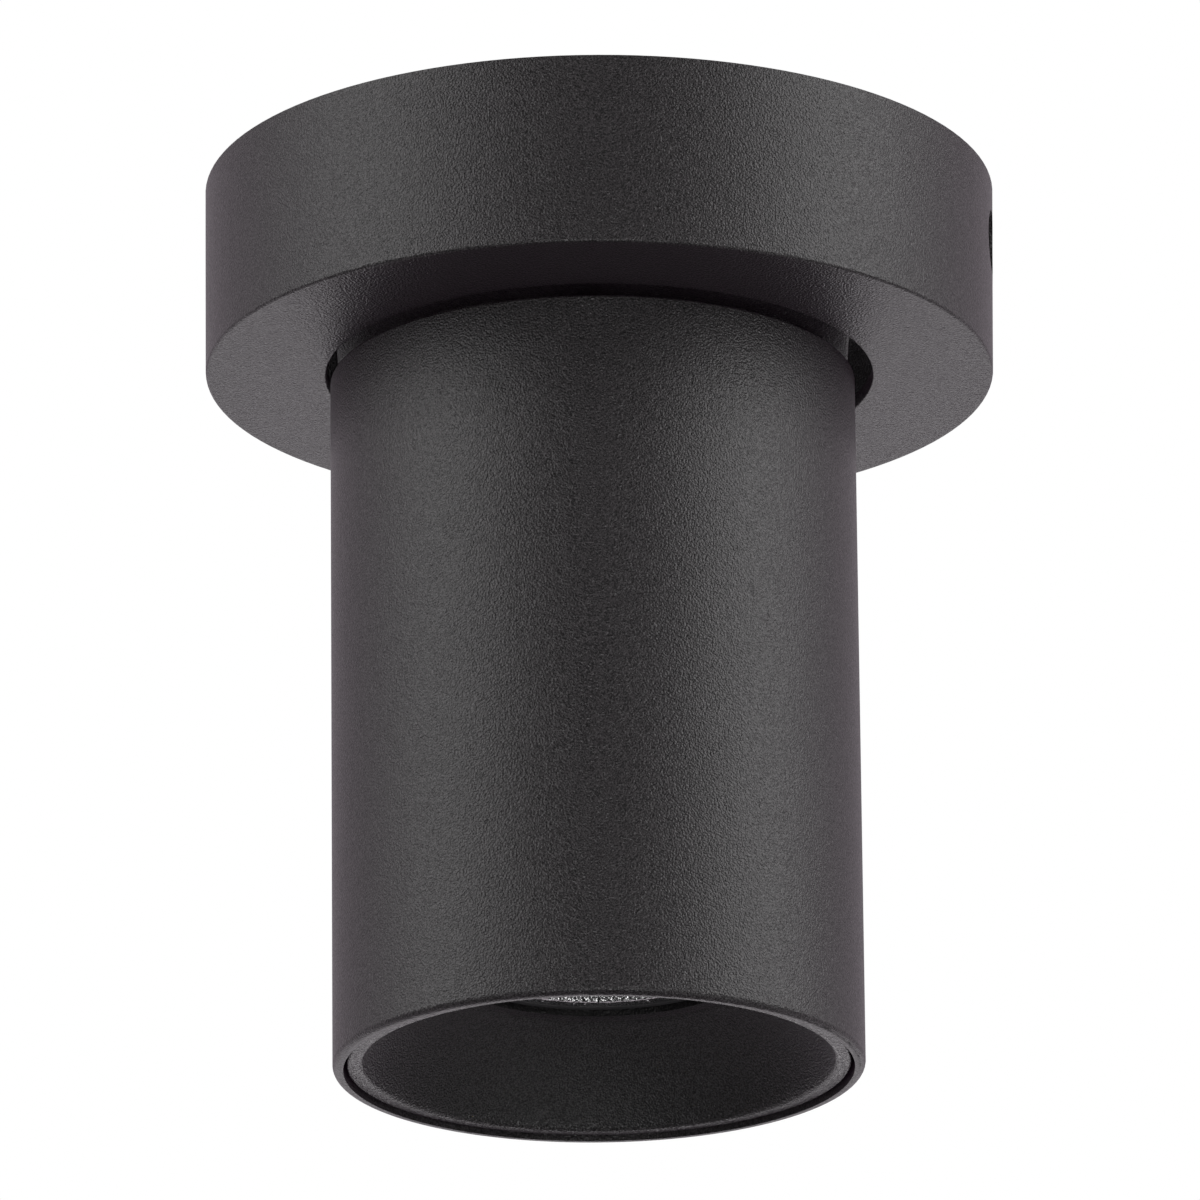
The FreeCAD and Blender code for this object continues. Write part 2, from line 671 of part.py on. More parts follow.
def posts():
    """Three hexagonal posts between the cap and the heat sink's base."""
    parts = []
    for azimuth in POST_AZIMUTHS:
        post = hexagon(POST_AF, SINK_TOP, CAP_BOTTOM, POST_AT, 0)
        post = post.cut(rod(M3_R + HOLE_GAP, CAP_BOTTOM - 9, CAP_BOTTOM + 1, POST_AT, 0))
        parts.append(turned(post, azimuth))
    return hung(group(parts))


def hinge_arm():
    """Steel arm under the cap that ends in the knuckle on the hinge pin."""
    high = CAP_BOTTOM
    low = high - ARM_T
    plate = block(ARM_START, PIVOT_OUT - 3.5, -EAR_PLATE_HALF, EAR_PLATE_HALF, low, high)
    neck = block(PIVOT_OUT - 4.5, PIVOT_OUT, -KNUCKLE_HALF, KNUCKLE_HALF, low, high)
    knuckle = cross_rod(KNUCKLE_R, -KNUCKLE_HALF, KNUCKLE_HALF, PIVOT_OUT, PIVOT_Z)
    arm = joined([plate, neck, knuckle])
    arm = arm.cut(cross_rod(PIN_R + HOLE_GAP, -9, 9, PIVOT_OUT, PIVOT_Z))
    for y in (-ARM_SCREW_Y, ARM_SCREW_Y):
        arm = arm.cut(rod(M3_R + HOLE_GAP, low - 1, high + 1, ARM_SCREW_X, y))
    return hung(at_hinge(arm))


def hinge_arm_screws():
    """Two countersunk screws through the cap into the hinge arm."""
    return hung(group([at_hinge(flat_screw(M3_R, M3_SINK_R, CAP_TOP, 3.5, ARM_SCREW_X, y))
                       for y in (-ARM_SCREW_Y, ARM_SCREW_Y)]))


def head_lead():
    """The lead's stretch from the joint, through the cap, to the driver's case."""
    return hung(rod(LEAD_R, CASE_TOP, NECK_LEAD_END - LEAD_GAP))


def driver_case():
    """Plastic cup over the driver, open towards the heat sink."""
    case = rod(CASE_R, CASE_TOP - CASE_H, CASE_TOP)
    case = case.makeFillet(1.0, edges_at(case, CASE_TOP, CASE_R))
    hollow = rod(CASE_R - CASE_WALL, CASE_TOP - CASE_H - 1, CASE_TOP - CASE_WALL)
    return hung(case.cut(hollow))


def driver_board():
    """Round circuit board that closes the driver's case, with a hole for the two wires."""
    board = rod(CASE_R - CASE_WALL - 0.1, BOARD_Z, BOARD_Z + BOARD_T)
    return hung(board.cut(rod(3.0, BOARD_Z - 1, BOARD_Z + 3, 0, WIRES_AT)))


def driver_parts():
    """Transformer, two capacitors, inductor and rectifier standing on the board."""
    top = BOARD_Z + BOARD_T
    transformer = block(-13.0, 1.0, -8.5, 4.5, top, top + 12.5)
    capacitors = [rod(3.8, top, top + 12.0, 9.0, 1.5), rod(3.1, top, top + 10.0, 5.5, -9.0)]
    coil = pipe(4.2, 1.6, top, top + 5.0, -8.5, 10.5)
    rectifier = block(10.5, 16.0, -8.5, -4.5, top, top + 3.0)
    return hung(group([transformer] + capacitors + [coil, rectifier]))


def heat_sink():
    """Aluminium base that fills the tube, with a core and upright radial fins above it."""
    base = rod(TUBE_BORE_R - HOLE_GAP, SINK_BOTTOM, SINK_TOP)
    high = SINK_TOP + SINK_FIN_H
    parts = [base, rod(9.0, SINK_TOP - 1, high)]
    for k in range(SINK_FINS):
        fin = block(7.0, SINK_TOP_OUT_R, -FIN_T / 2, FIN_T / 2, SINK_TOP - 1, high)
        azimuth = POST_AZIMUTHS[0] + 360.0 / SINK_FINS * (k + 0.5)
        parts.append(turned(fin, azimuth))
    sink = joined(parts)
    return hung(sink.cut(rod(2.6, SINK_BOTTOM - 1, high + 1, 0, WIRES_AT)))


def led_wires():
    """Two insulated wires from the driver board down to the light source."""
    wires = []
    for side in (-0.5, 0.5):
        wires.append(rod(WIRE_R, SINK_BOTTOM - 1.0, BOARD_Z + 1.2, side * WIRE_PITCH, WIRES_AT))
    return hung(group(wires))


def led_board():
    """Square ceramic board of the light source, against the heat sink."""
    return hung(block(-LED_HALF, LED_HALF, -LED_HALF, LED_HALF, SINK_BOTTOM - LED_T, SINK_BOTTOM))


def led_emitter():
    """Round phosphor dome of the light source."""
    low = SINK_BOTTOM - LED_T - EMITTER_T
    disc = rod(EMITTER_R, low, SINK_BOTTOM - LED_T)
    return hung(disc.makeFillet(0.4, edges_at(disc, low, EMITTER_R)))


def led_holder():
    """Plastic ring that presses the light source on the heat sink and seats the reflector."""
    ring = pipe(HOLDER_R, REFLECTOR_TOP_R, SINK_BOTTOM - HOLDER_T, SINK_BOTTOM)
    pocket = LED_HALF + 0.1
    ring = ring.cut(block(-pocket, pocket, -pocket, pocket, SINK_BOTTOM - LED_T - 0.05, SINK_BOTTOM + 1))
    ring = ring.cut(rod(2.2, SINK_BOTTOM - 1.6, SINK_BOTTOM + 1, 0, WIRES_AT))
    ring = ring.cut(block(-2.2, 2.2, LED_HALF - 1, WIRES_AT, SINK_BOTTOM - LED_T, SINK_BOTTOM + 1))
    for side in (-1, 1):
        ring = ring.cut(rod(M3_R + HOLE_GAP, -BIG, 0, side * HOLDER_SCREW_AT, 0))
    return hung(ring)


def holder_screws():
    """Two pan head screws, from below, that hold the ring and the light source."""
    screws = []
    for side in (-1, 1):
        screw = pan_screw(M3_R, 2.6, 0.0, 1.8, HOLDER_T, 0, 0)
        screw.rotate(Vector(0, 0, 0), Vector(1, 0, 0), 180)
        screw.translate(Vector(side * HOLDER_SCREW_AT, 0, SINK_BOTTOM - HOLDER_T))
        screws.append(screw)
    return hung(group(screws))


def reflector():
    """Silvered bowl, widest at the front, with a rolled flange and a seat for the glass."""
    front = REFLECTOR_FRONT
    back = REFLECTOR_BACK
    seat = front + GLASS_SEAT + GLASS_T
    seat_r = REFLECTOR_R - REFLECTOR_WALL
    middle = (12.6, front + 0.42 * REFLECTOR_H)
    outer_end = (REFLECTOR_TOP_R + REFLECTOR_WALL, back)
    outer_middle = (middle[0] + REFLECTOR_WALL + 0.1, middle[1])
    outline = lines([
        (REFLECTOR_R, front),
        (FLANGE_R, front),
        (FLANGE_R, front + 1.0),
        (REFLECTOR_R + 0.2, front + 2.2),
    ])
    outline.append(arc((REFLECTOR_R + 0.2, front + 2.2), outer_middle, outer_end))
    outline += lines([outer_end, (REFLECTOR_TOP_R, back)])
    outline.append(arc((REFLECTOR_TOP_R, back), middle, (seat_r, seat)))
    outline += lines([
        (seat_r, seat),
        (REFLECTOR_R - 0.1, seat),
        (REFLECTOR_R, front),
    ])
    return hung(lathe(outline))


def front_glass():
    """Clear disc inside the reflector's mouth that keeps dust off the light source."""
    low = REFLECTOR_FRONT + GLASS_SEAT
    return hung(rod(REFLECTOR_R - 0.25, low, low + GLASS_T))


def reflector_ring():
    """Thin grey ring that centres the reflector in the baffle's throat."""
    front = REFLECTOR_FRONT - 0.15
    return hung(pipe(THROAT_R - 0.1, FLANGE_R + 0.1, front, front + 1.3))


def baffle():
    """Black anti-glare bowl with a flat lip, a hollow cone and a short smooth throat."""
    lip = TUBE_BOTTOM + LIP_DEPTH
    cone_end = TUBE_BOTTOM + CONE_DEPTH
    back = TUBE_BOTTOM + BAFFLE_H
    inner_lip = (LIP_INNER_R, lip)
    inner_end = (CONE_R, cone_end)
    run = inner_lip[0] - inner_end[0]
    rise = cone_end - lip
    length = math.hypot(run, rise)
    middle = ((LIP_INNER_R + CONE_R) / 2 + CONE_SAG * rise / length,
              (lip + cone_end) / 2 + CONE_SAG * run / length)
    outline = [arc(inner_lip, middle, inner_end)]
    outline += lines([
        inner_end,
        (THROAT_R, cone_end + 0.3),
        (THROAT_R, back),
        (THROAT_R + BAFFLE_WALL, back),
        (CONE_R + 1.7, cone_end + 0.6),
        (middle[0] + 1.1, middle[1] + 0.9),
        (LIP_R - BAFFLE_WALL, lip + 3.4),
        (LIP_R - BAFFLE_WALL, back),
        (LIP_R, back),
        (LIP_R, lip),
        inner_lip,
    ])
    bowl = lathe(outline)
    bowl = bowl.makeFillet(LIP_SOFT_EDGE, edges_at(bowl, lip, LIP_INNER_R))
    return hung(bowl.makeFillet(LIP_EDGE, edges_at(bowl, lip, LIP_R)))


def baffle_clips():
    """Three leaf springs inside the baffle's skirt that grip the tube above it."""
    back = TUBE_BOTTOM + BAFFLE_H
    inside = LIP_R - BAFFLE_WALL - HOLE_GAP
    crest = TUBE_BORE_R - HOLE_GAP
    outline = [
        (inside, back - 5.0),
        (inside, back + 0.6),
        (crest, back + 3.4),
        (inside - 0.8, back + 6.4),
        (inside - 0.8 - CLIP_T, back + 6.2),
        (crest - 2 * CLIP_T, back + 3.4),
        (inside - CLIP_T, back + 0.9),
        (inside - CLIP_T, back - 5.0),
    ]
    clips = []
    for azimuth in CLIP_AZIMUTHS:
        points = [Vector(r, -CLIP_W / 2, z) for r, z in outline + outline[:1]]
        leaf = Part.Face(Part.makePolygon(points)).extrude(Vector(0, CLIP_W, 0))
        # The tube and the skirt are round, so the flat leaf is trimmed to both.
        leaf = leaf.common(rod(inside, back - 9, back).fuse(rod(crest, back, back + 9)))
        clips.append(turned(leaf, azimuth))
    return hung(group(clips))


PIECES = [
    ceiling_bracket, cable_grommet, terminal_block, terminal_screws, terminal_fixing_screw,
    earth_screw, canopy, side_screws, carrier_bridge, carrier_screws, hollow_nipple,
    nipple_nut, friction_washer, wave_washer, thrust_washer, lock_nut, base_lead,
    swivel_disc, stop_pin, hinge_bracket, hinge_screws, hinge_pin, hinge_washers, neck_lead,
    tube_housing, top_cap, cap_screws, cap_grommet, posts, hinge_arm, hinge_arm_screws,
    head_lead, driver_case, driver_board, driver_parts, heat_sink, led_wires, led_board,
    led_emitter, led_holder, holder_screws, reflector, front_glass, reflector_ring,
    baffle, baffle_clips,
]

for piece in PIECES:
    shape = piece()
    shape.exportStep("parts/" + piece.__name__ + ".step")
    print(piece.__name__, len(shape.Solids), round(shape.Volume, 1), shape.isValid())
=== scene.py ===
import math

import bmesh
import bpy
import numpy as np
from mathutils import Matrix


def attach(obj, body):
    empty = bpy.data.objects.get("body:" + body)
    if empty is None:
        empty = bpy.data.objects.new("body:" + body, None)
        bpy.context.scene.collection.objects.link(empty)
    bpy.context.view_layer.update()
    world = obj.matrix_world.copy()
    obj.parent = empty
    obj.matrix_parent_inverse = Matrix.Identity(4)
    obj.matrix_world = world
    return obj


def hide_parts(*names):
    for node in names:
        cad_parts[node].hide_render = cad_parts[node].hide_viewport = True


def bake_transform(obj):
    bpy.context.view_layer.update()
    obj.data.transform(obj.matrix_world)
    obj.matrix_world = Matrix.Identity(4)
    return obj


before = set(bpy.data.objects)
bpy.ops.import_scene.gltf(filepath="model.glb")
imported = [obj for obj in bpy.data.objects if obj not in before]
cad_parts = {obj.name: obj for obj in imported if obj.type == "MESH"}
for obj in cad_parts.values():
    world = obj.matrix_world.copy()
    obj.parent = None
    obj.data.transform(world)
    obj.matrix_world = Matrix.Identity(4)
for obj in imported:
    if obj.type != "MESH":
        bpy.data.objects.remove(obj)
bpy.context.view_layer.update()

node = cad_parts


# ---- Ceiling bracket ---------------------------------------------------------------------
# Pressed steel plate, 1.5 mm thick, zinc plated. It is screwed to the ceiling through its
# two slots, and its two bent tabs take the side screws.

def add_grain(material, scale, detail, stretch=(1.0, 1.0, 1.0)):
    """A noise over the piece's own coordinates, stretched per axis. Gives its value, 0 to 1."""
    tree = material.node_tree
    place = tree.nodes.new("ShaderNodeTexCoord")
    turn = tree.nodes.new("ShaderNodeMapping")
    turn.inputs["Scale"].default_value = stretch
    noise = tree.nodes.new("ShaderNodeTexNoise")
    noise.inputs["Scale"].default_value = scale
    noise.inputs["Detail"].default_value = detail
    tree.links.new(place.outputs["Object"], turn.inputs["Vector"])
    tree.links.new(turn.outputs["Vector"], noise.inputs["Vector"])
    return noise.outputs["Fac"]


def vary_colour(material, value, dark, light, spread=0.2):
    """Base colour runs from dark to light as the value goes from 0.5 - spread to 0.5 + spread."""
    tree = material.node_tree
    ramp = tree.nodes.new("ShaderNodeValToRGB")
    ramp.color_ramp.elements[0].position = 0.5 - spread
    ramp.color_ramp.elements[0].color = (*dark, 1.0)
    ramp.color_ramp.elements[1].position = 0.5 + spread
    ramp.color_ramp.elements[1].color = (*light, 1.0)
    tree.links.new(value, ramp.inputs["Fac"])
    tree.links.new(ramp.outputs["Color"], tree.nodes["Principled BSDF"].inputs["Base Color"])


def vary_gloss(material, value, low, high):
    """Roughness runs from low to high as the value goes from 0.3 to 0.7."""
    tree = material.node_tree
    span = tree.nodes.new("ShaderNodeMapRange")
    span.inputs["From Min"].default_value = 0.3
    span.inputs["From Max"].default_value = 0.7
    span.inputs["To Min"].default_value = low
    span.inputs["To Max"].default_value = high
    tree.links.new(value, span.inputs["Value"])
    tree.links.new(span.outputs["Result"], tree.nodes["Principled BSDF"].inputs["Roughness"])


def raise_grain(material, value, relief):
    """Bump as high as relief, in metres, where the value is 1."""
    tree = material.node_tree
    bump = tree.nodes.new("ShaderNodeBump")
    bump.inputs["Distance"].default_value = relief
    tree.links.new(value, bump.inputs["Height"])
    tree.links.new(bump.outputs["Normal"], tree.nodes["Principled BSDF"].inputs["Normal"])


def new_finish(name, metallic=0.0):
    """An empty surface finish: one shader, metal or not."""
    material = bpy.data.materials.new(name)
    material.use_nodes = True
    material.node_tree.nodes["Principled BSDF"].inputs["Metallic"].default_value = metallic
    return material


def coat_node(name, material):
    """Gives a CAD node its finish."""
    for slot in node[name].material_slots:
        slot.link = "OBJECT"
        slot.material = material


def eased_copy(name, body, material, edge):
    """A CAD node's shape, merged, with its sharp edges rounded by edge metres, as a press or
    mould leaves them."""
    work = bmesh.new()
    work.from_mesh(node[name].data)
    bmesh.ops.remove_doubles(work, verts=work.verts, dist=2e-6)
    flat = math.radians(0.5)
    bmesh.ops.dissolve_limit(work, angle_limit=flat, verts=work.verts, edges=work.edges)
    mesh = bpy.data.meshes.new(name + "_eased")
    work.to_mesh(mesh)
    work.free()
    if "custom_normal" in mesh.attributes:
        mesh.attributes.remove(mesh.attributes["custom_normal"])
    mesh.materials.clear()
    mesh.materials.append(material)
    mesh.shade_smooth()
    piece = bpy.data.objects.new(name + "_eased", mesh)
    bpy.context.scene.collection.objects.link(piece)
    bevel = piece.modifiers.new("eased edges", "BEVEL")
    bevel.width = edge
    bevel.segments = 2
    bevel.limit_method = "ANGLE"
    bevel.angle_limit = math.radians(38)
    bevel.harden_normals = True
    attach(piece, body)
    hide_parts(name)


def zinc_plate(name, lines=(1.0, 12.0, 12.0)):
    """Zinc plate on rolled steel: pale blue-grey, with faint rolling lines and a cloudy spangle."""
    zinc = new_finish(name, metallic=1.0)
    rolled = add_grain(zinc, 900.0, 3.0, lines)
    clouds = add_grain(zinc, 260.0, 4.0)
    vary_colour(zinc, clouds, (0.54, 0.55, 0.57), (0.66, 0.67, 0.68))
    vary_gloss(zinc, clouds, 0.30, 0.46)
    raise_grain(zinc, rolled, 0.000006)
    return zinc


rolled_zinc = zinc_plate("rolled_zinc")
eased_copy("ceiling_bracket", "base", rolled_zinc, 0.00018)


# ---- Cable grommet -----------------------------------------------------------------------
# Moulded black rubber ring that snaps into the bracket's cable hole, flush on the ceiling
# side. A smaller one lines the hole in the head's cap. Matt, with the faint grain of the
# mould and a pale bloom.

def moulded_rubber(name, colour):
    """Matt black rubber with a fine mould grain and a slightly paler bloom in patches."""
    rubber = new_finish(name)
    fine = add_grain(rubber, 4200.0, 2.0)
    bloom = add_grain(rubber, 300.0, 3.0)
    vary_colour(rubber, bloom, colour, tuple(1.7 * c for c in colour))
    vary_gloss(rubber, bloom, 0.62, 0.8)
    raise_grain(rubber, fine, 0.00002)
    return rubber


black_rubber = moulded_rubber("black_rubber", (0.016, 0.016, 0.017))
coat_node("cable_grommet", black_rubber)
coat_node("cap_grommet", black_rubber)


# ---- Terminal block and its screws -------------------------------------------------------
# Three pole block in white moulded plastic, held up against the bracket by one screw.
# Its screws, the earth screw and the bridge's two screws are zinc plated steel.

def moulded_plastic(name, colour, gloss, grain):
    """Moulded plastic with a light spark-eroded grain and a little unevenness in its colour."""
    plastic = new_finish(name)
    fine = add_grain(plastic, grain, 2.0)
    slow = add_grain(plastic, 180.0, 2.0)
    darker, lighter = (tuple(min(1.0, k * c) for c in colour) for k in (0.92, 1.06))
    vary_colour(plastic, slow, darker, lighter)
    vary_gloss(plastic, slow, gloss - 0.05, gloss + 0.07)
    raise_grain(plastic, fine, 0.000012)
    return plastic


white_plastic = moulded_plastic("white_plastic", (0.76, 0.76, 0.73), 0.42, 2600.0)
eased_copy("terminal_block", "base", white_plastic, 0.00025)
bright_zinc = zinc_plate("bright_zinc", (1.0, 1.0, 1.0))
for name in ("terminal_screws", "terminal_fixing_screw", "earth_screw", "carrier_screws"):
    coat_node(name, bright_zinc)


# ---- Canopy, tube, swivel disc and top cap: black powder coat ------------------------------
# Cast and turned aluminium, sprayed with a fine textured black powder and baked. The coat
# has a leathery grain, with pebbles about a quarter of a millimetre across.

grain_size = 0.00026


def powder_coat(name, colour, rough, relief):
    """Black powder coat: fine pebbles as relief, and a finer speckle in colour and gloss."""
    coat = new_finish(name)
    pebbles = add_grain(coat, 1.1 / grain_size, 0.0)
    specks = add_grain(coat, 1.3 / grain_size, 1.0)
    raise_grain(coat, pebbles, relief)
    darker, lighter = (tuple(k * c for c in colour) for k in (0.3, 1.7))
    vary_colour(coat, specks, darker, lighter, 0.12)
    vary_gloss(coat, specks, rough + 0.06, rough - 0.06)
    shader = coat.node_tree.nodes["Principled BSDF"]
    shader.inputs["Sheen Weight"].default_value = 0.03
    shader.inputs["Sheen Roughness"].default_value = 0.4
    shader.inputs["Sheen Tint"].default_value = (1.0, 0.25, 0.9, 1.0)
    return coat


black_coat = powder_coat("black_coat", (0.0395, 0.0355, 0.0376), 0.34, 0.0001)
for name in ("canopy", "tube_housing", "swivel_disc", "top_cap"):
    coat_node(name, black_coat)


# ---- Side screws, hinge screws, cap screws: blackened steel --------------------------------
# Socket screws in the canopy's two side holes, and countersunk screws in the hinge and cap.

def blackened_steel(name):
    """Black oxide on steel: nearly black, satin, with brownish patches."""
    steel = new_finish(name, metallic=0.35)
    patches = add_grain(steel, 700.0, 3.0)
    vary_colour(steel, patches, (0.006, 0.006, 0.006), (0.016, 0.014, 0.012))
    vary_gloss(steel, patches, 0.5, 0.62)
    raise_grain(steel, patches, 0.000008)
    return steel


black_oxide = blackened_steel("black_oxide")
for name in ("side_screws", "hinge_screws", "cap_screws", "hinge_arm_screws"):
    coat_node(name, black_oxide)


# ---- Carrier bridge, nipple, nuts and washers ----------------------------------------------
# Steel strip across the canopy. The hollow nipple hangs from it by its shoulder and nut.
# Below it washers and the lock nut hold the swivel disc. All this steel is zinc plated, and
# the friction washer is plastic.

eased_copy("carrier_bridge", "base", rolled_zinc, 0.00018)
nipple_r, nipple_bore, nipple_top, nipple_low = 0.0050, 0.0038, -0.0086, -0.0219
shoulder_r, shoulder_top, shoulder_low = 0.0085, -0.0130, -0.0140
thread_pitch, thread_depth = 0.0010, 0.00042
edge_break, end_chamfer, root_inset = 0.0001, 0.0005, 0.0004
rows_above, rows_below = 60, 100


def closed_sheet(name, points, material, poles=False):
    """A closed surface over a grid of points. Round the first index it closes on itself;
    along the second too, or with poles it ends in a point at each end. Where the sum of
    corner . (corner x corner), six times the volume, is negative, the faces are turned."""
    if poles:
        ends = points[:, [0, -1]].mean(axis=0)
        points = points[:, 1:-1]
    around, along = points.shape[:2]
    a = np.arange(around * along).reshape(around, along)
    b = np.roll(a, -1, axis=0)
    quads = np.stack([a, np.roll(a, -1, axis=1), np.roll(b, -1, axis=1), b], axis=-1)
    corners = points.reshape(-1, 3)
    fans = np.zeros((0, 3), int)
    if poles:
        quads = quads[:, :-1]
        corners = np.concatenate([corners, ends])
        first = np.full(around, len(corners) - 2)
        last = np.full(around, len(corners) - 1)
        fans = np.concatenate([np.stack([first, a[:, 0], b[:, 0]], axis=-1),
                               np.stack([last, b[:, -1], a[:, -1]], axis=-1)])
    quads = quads.reshape(-1, 4)
    three = np.concatenate([quads[:, :3], quads[:, [0, 2, 3]], fans])
    x, y, z = (corners[three[:, k]] for k in range(3))
    if np.einsum("ij,ij->i", x, np.cross(y, z)).sum() < 0:
        quads, fans = quads[:, ::-1], fans[:, ::-1]
    mesh = bpy.data.meshes.new(name)
    mesh.from_pydata(corners.tolist(), [], quads.tolist() + fans.tolist())
    mesh.shade_smooth()
    mesh.materials.append(material)
    piece = bpy.data.objects.new(name, mesh)
    bpy.context.scene.collection.objects.link(piece)
    return piece


def threaded_nipple():
    """Radius at angle a and height z: the outer wall less a ridge,
    depth * |2 frac(z / pitch - a / turn) - 1|, except on the shoulder; the same grid returns
    down the smooth bore."""
    turn = np.linspace(0.0, 2 * math.pi, 96, endpoint=False)
    above = np.linspace(nipple_top - 2 * edge_break, shoulder_top + edge_break, rows_above)
    below = np.linspace(shoulder_low - edge_break, nipple_low + 2 * edge_break, rows_below)
    z = np.concatenate([[nipple_top] * 2, above, [shoulder_top] * 4, [shoulder_low] * 4, below,
                        [nipple_low] * 3, [nipple_top]])
    end = [nipple_bore + edge_break, nipple_r - end_chamfer]
    ledge = [nipple_r - root_inset, nipple_r, shoulder_r - edge_break, shoulder_r]
    r = np.concatenate([end, np.full(rows_above, nipple_r), ledge, ledge[:1:-1], ledge[1::-1],
                        np.full(rows_below, nipple_r), end[::-1], [nipple_bore] * 2])
    on_wall = np.abs(r - nipple_r) < 1e-9
    on_shoulder = (np.abs(z - shoulder_top) < 1e-9) | (np.abs(z - shoulder_low) < 1e-9)
    height = np.broadcast_to(z, (turn.size, z.size))
    phase = height / thread_pitch - turn[:, None] / (2 * math.pi)
    ridge = thread_depth * np.abs(2 * (phase - np.floor(phase)) - 1)
    radius = r - ridge * (on_wall & ~on_shoulder)
    x, y = radius * np.cos(turn)[:, None], radius * np.sin(turn)[:, None]
    return np.stack([x, y, height], axis=-1)


nipple = closed_sheet("threaded_nipple", threaded_nipple(), bright_zinc)
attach(nipple, "base")
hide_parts("hollow_nipple")
for name in ("nipple_nut", "lock_nut"):
    eased_copy(name, "base", bright_zinc, 0.00025)
for name in ("wave_washer", "thrust_washer"):
    coat_node(name, bright_zinc)
coat_node("friction_washer", white_plastic)


# ---- Lead ------------------------------------------------------------------------------------
# Round black sheathed lead from the terminal block through the nipple to the driver. Where
# the head tilts, the real lead bends about the hinge; here its last stretch is a straight tube
# with its rings packed close.

coat_node("base_lead", black_rubber)
coat_node("neck_lead", black_rubber)
lead_r, lead_from, lead_to = 0.0023, -0.0219, -0.03004
bend_from, bend_to = -0.0224, -0.0259


def bending_lead():
    """A round tube on the axis: rings of 24 points at heights packed close between bend_from
    and bend_to, and a point at each end."""
    turn = np.linspace(0.0, 2 * math.pi, 24, endpoint=False)
    bend = np.linspace(bend_from + 0.0001, bend_to - 0.0001, 110)
    straight = np.linspace(bend_to - 0.0006, lead_to, 6)
    z = np.concatenate([[lead_from] * 2, bend, straight, [lead_to]])
    r = np.full(z.size, lead_r)
    r[[0, -1]] = 0.0
    height = np.broadcast_to(z, (turn.size, z.size))
    return np.stack([r * np.cos(turn)[:, None], r * np.sin(turn)[:, None], height], axis=-1)


lead = closed_sheet("tilting_lead", bending_lead(), black_rubber, poles=True)
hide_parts("head_lead")
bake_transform(lead)


# ---- Hinge -----------------------------------------------------------------------------------
# Bent steel bracket on the disc, with a pin through its two ears and the arm's knuckle. Two
# plastic washers between them give the friction that holds the head. The stop pin in the
# disc ends its turn.

eased_copy("hinge_bracket", "swivel", rolled_zinc, 0.00015)
eased_copy("hinge_arm", "head", rolled_zinc, 0.00015)
for name in ("hinge_pin", "stop_pin"):
    coat_node(name, bright_zinc)
coat_node("hinge_washers", white_plastic)


# ---- Posts, driver case and board ----------------------------------------------------------------
# Hexagonal posts hang the heat sink under the cap. The driver's board lies between them in
# its black moulded case, and two wires run down from it through the fins.

coat_node("posts", bright_zinc)
black_plastic = moulded_plastic("black_plastic", (0.020, 0.020, 0.021), 0.5, 2200.0)
coat_node("driver_case", black_plastic)


def solder_mask():
    """Green lacquer over copper: the tracks show as paler bands where a wave crosses a level."""
    board = new_finish("solder_mask")
    tree = board.node_tree
    place = tree.nodes.new("ShaderNodeTexCoord")
    tracks = tree.nodes.new("ShaderNodeTexWave")
    tracks.inputs["Scale"].default_value = 260.0
    tracks.inputs["Distortion"].default_value = 6.0
    tracks.inputs["Detail Scale"].default_value = 0.6
    tree.links.new(place.outputs["Object"], tracks.inputs["Vector"])
    vary_colour(board, tracks.outputs["Fac"], (0.010, 0.100, 0.045), (0.020, 0.210, 0.085))
    vary_gloss(board, tracks.outputs["Fac"], 0.22, 0.34)
    raise_grain(board, tracks.outputs["Fac"], 0.00003)
    return board


coat_node("driver_board", solder_mask())
coat_node("led_wires", white_plastic)


# ---- Driver parts --------------------------------------------------------------------------------
# On the board stand a transformer with a taped winding, two capacitors in plastic sleeves,
# a wound ring coil and a rectifier in a moulded case.

head_lean, hinge_turn = math.radians(0.45), math.radians(30.0)
pivot = np.array((0.030 * math.cos(hinge_turn), 0.030 * math.sin(hinge_turn), -0.0269))


def hang(points):
    """Turns points of the upright head by its lean about the hinge:
    p + sin t (k x p) + (1 - cos t) k x (k x p), with p from the pivot and k along the pin."""
    k = np.array((math.sin(hinge_turn), -math.cos(hinge_turn), 0.0))
    arm = points - pivot
    across = np.cross(k, arm)
    back = np.cross(k, across)
    return pivot + arm + math.sin(head_lean) * across + (1 - math.cos(head_lean)) * back


board_top = -0.0458  # the face that the parts stand on
can_crimp, crimp_from_board, crimp_width = 0.0003, 0.0016, 0.00035
wire_bulge, wound_square = 0.0002, 0.6


def fit_driver_part(name, points, material, poles=True):
    """Hangs a part on the driver board, and lets it stand for the plain CAD solid."""
    part = closed_sheet(name, hang(points), material, poles)
    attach(part, "head")
    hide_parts("driver_parts")


def soft_block(low, high, edge):
    """A block with round edges: a rectangle with round corners, drawn in by
    edge * (1 - sin b) at its top and bottom while the height runs through
    edge * (1 - cos b)."""
    turn = np.linspace(0.0, 2 * math.pi, 64, endpoint=False) + math.pi / 64
    half = (np.array(high) - np.array(low)) / 2
    middle = (np.array(high) + np.array(low)) / 2
    bend = np.linspace(0.2, 0.5 * math.pi, 5)
    inset = edge * np.concatenate([[1.0], 1 - np.sin(bend), 1 - np.sin(bend[::-1]), [1.0]])
    rise = edge * np.concatenate([[0.0], 1 - np.cos(bend)])
    height = np.concatenate([rise - half[2], half[2] - rise[::-1]])
    arm = np.stack([np.cos(turn), np.sin(turn)], axis=-1)
    corner = np.sign(arm) * (half[:2] - edge)
    plan = corner[:, None, :] + (edge - inset)[None, :, None] * arm[:, None, :]
    z = np.broadcast_to(height, plan.shape[:2])
    return np.concatenate([plan + middle[:2], (z + middle[2])[..., None]], axis=-1)


